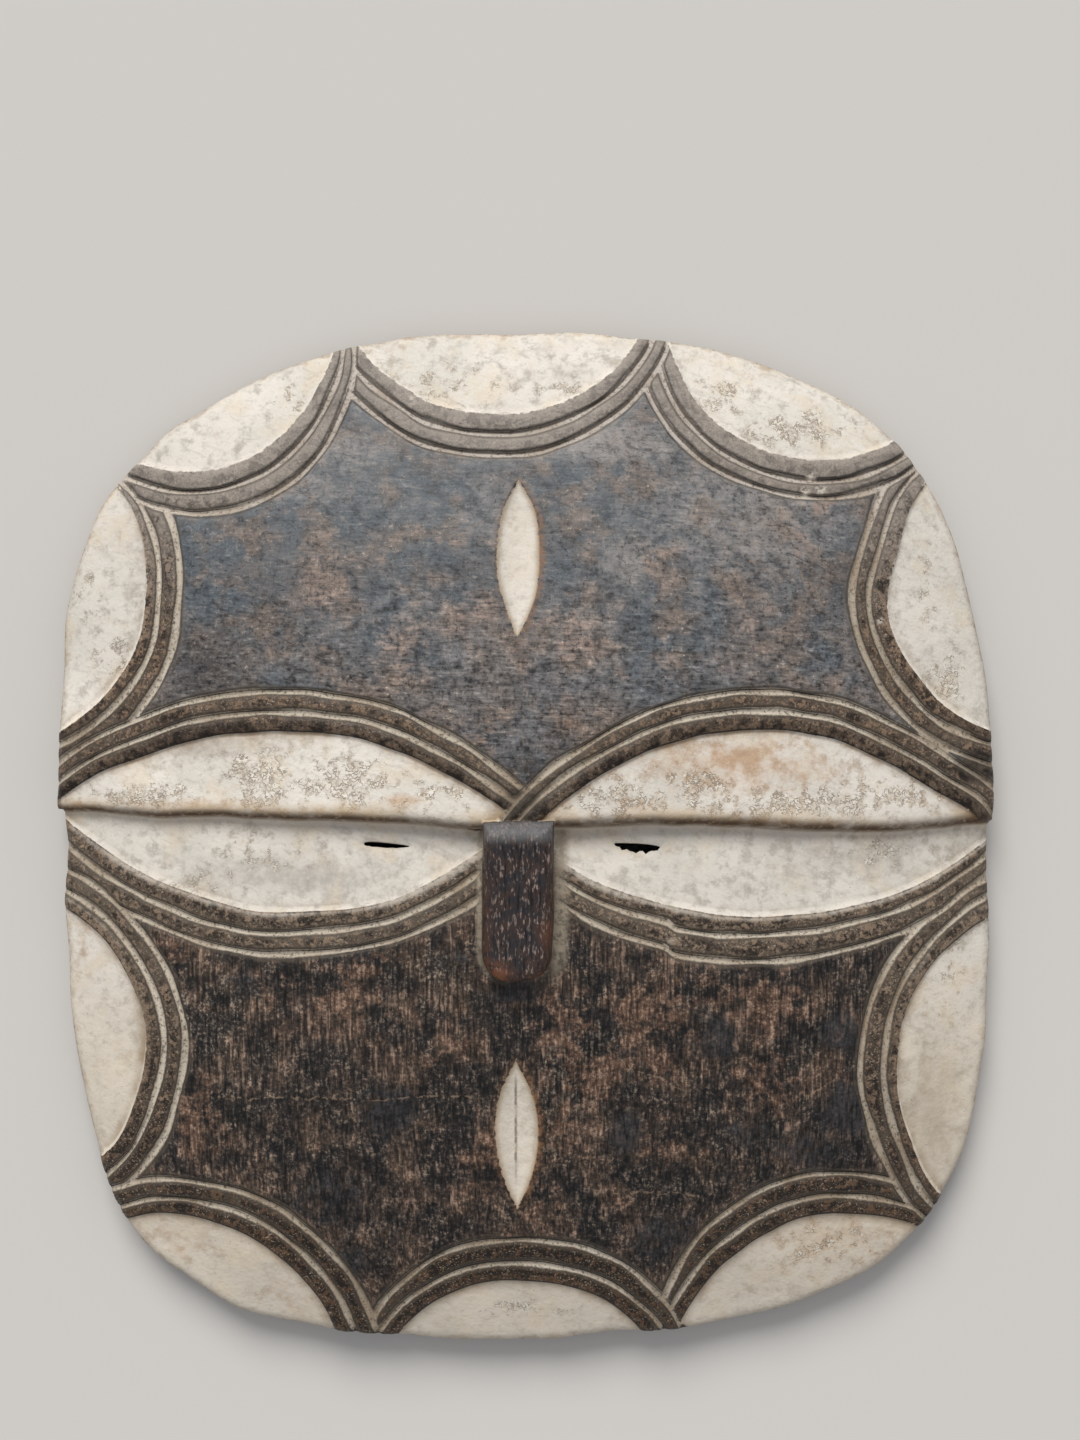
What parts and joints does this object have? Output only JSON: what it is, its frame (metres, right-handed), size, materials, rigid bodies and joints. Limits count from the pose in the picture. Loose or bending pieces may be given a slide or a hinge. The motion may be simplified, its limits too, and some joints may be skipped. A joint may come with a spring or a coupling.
{
  "type": "teke mask",
  "caption": "Rounded-square carved wooden face mask, domed in front and hollow behind, with a jutting eye line, block nose, slit eyes and scalloped border lines.",
  "frame": {"origin": "centre of the outline on the plane of the flat rim of the back, which the mask lies on", "axes": "+Z out of the face, +Y up the face towards the forehead, +X across it to the viewer's right"},
  "size_m": [0.324, 0.35, 0.051],
  "materials": {
    "carved_wood": "carved wood, dark brown with a dull polish, its cut-back grounds whitened with chalky kaolin"
  },
  "bodies": {
    "root": {"mask": "carved_wood"}
  },
  "joints": []
}
